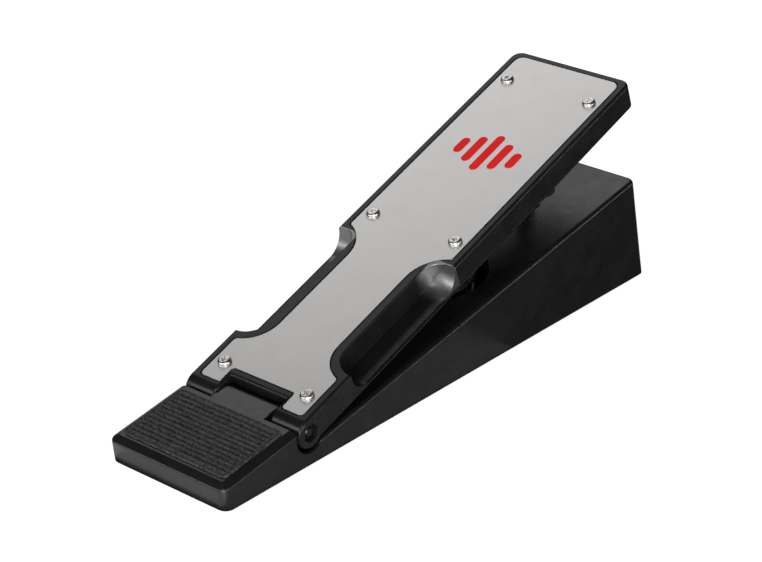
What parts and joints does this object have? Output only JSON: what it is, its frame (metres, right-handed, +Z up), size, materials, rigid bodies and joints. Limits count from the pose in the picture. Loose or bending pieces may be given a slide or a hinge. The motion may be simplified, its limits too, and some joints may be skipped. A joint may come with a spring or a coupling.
{
  "type": "sustain pedal",
  "caption": "Long footboard with an inlaid steel plate, hinged behind the heel rest of a wedge base; a coil spring raises it and a switch inside feeds a rear socket.",
  "frame": {"origin": "under the middle of the pedal, on the surface that its feet stand on", "axes": "+X to the player's right across the pedal, +Y from the heel rest towards the raised end, +Z up"},
  "size_m": [0.063, 0.2804, 0.1001],
  "materials": {
    "base_plastic": "fine satin grain",
    "board_plastic": "fine satin grain",
    "pad_rubber": "ribbed, grainy",
    "black_rubber": "matte",
    "plate_steel": "fine satin brushed",
    "cover_steel": "black powder coat",
    "fastener_steel": "bright zinc",
    "black_zinc": "black zinc",
    "spring_steel": "bright drawn wire",
    "hook_steel": "zinc plated",
    "nickel": "nickel plated",
    "bush_brass": "turned",
    "contact_brass": "plated strip",
    "inner_plastic": "moulded nylon",
    "switch_plastic": "moulded",
    "button_plastic": "moulded",
    "washer_nylon": "nylon",
    "mark_ink": "printed",
    "red_lead": "insulated wire",
    "black_lead": "insulated wire"
  },
  "bodies": {
    "base": {"base_housing": "base_plastic", "bottom_cover": "cover_steel", "cover_screws": "fastener_steel", "rubber_feet": "black_rubber", "heel_pad": "pad_rubber", "rest_bumper": "black_rubber", "hook_buffer": "black_rubber", "hinge_bushes": "bush_brass", "spring_seat": "inner_plastic", "return_spring": "spring_steel", "switch_body": "switch_plastic", "switch_terminals": "contact_brass", "switch_screws": "fastener_steel", "lever_pin": "fastener_steel", "jack_sleeve": "nickel", "jack_housing": "switch_plastic", "jack_washer": "nickel", "jack_nut": "nickel", "jack_contact": "contact_brass", "signal_wire": "red_lead", "ground_wire": "black_lead"},
    "footboard": {"footboard": "board_plastic", "foot_plate": "plate_steel", "plate_mark": "mark_ink", "plate_screws": "fastener_steel", "hinge_bolt": "black_zinc", "hinge_nut": "black_zinc", "hinge_washers": "washer_nylon", "spring_cap": "inner_plastic", "cap_screw": "fastener_steel", "stop_hook": "hook_steel", "hook_screws": "fastener_steel"},
    "switch_lever": {"switch_lever": "spring_steel"},
    "switch_button": {"switch_button": "button_plastic"}
  },
  "joints": [
    {"name": "footboard_hinge", "type": "hinge", "parent": "base", "child": "footboard", "pos_m": [0, -0.0904, 0.0151], "axis": [-1, 0, 0], "range_deg": [0, 8.9], "stiffness_Nm_per_rad": 6, "springref_deg": -14.32, "deforming": ["return_spring"]},
    {"name": "lever_pivot", "type": "hinge", "parent": "base", "child": "switch_lever", "pos_m": [0, -0.0075, 0.0099], "axis": [1, 0, 0], "range_deg": [0, 15.5]},
    {"name": "button_travel", "type": "slide", "parent": "base", "child": "switch_button", "axis": [0, 0, -1], "range_m": [0, 0.00175]}
  ],
  "couplings": [
    {"joint": "lever_pivot", "follows": "footboard_hinge", "ratio": 1.72},
    {"joint": "button_travel", "follows": "footboard_hinge", "m_per_rad": 0.011}
  ]
}
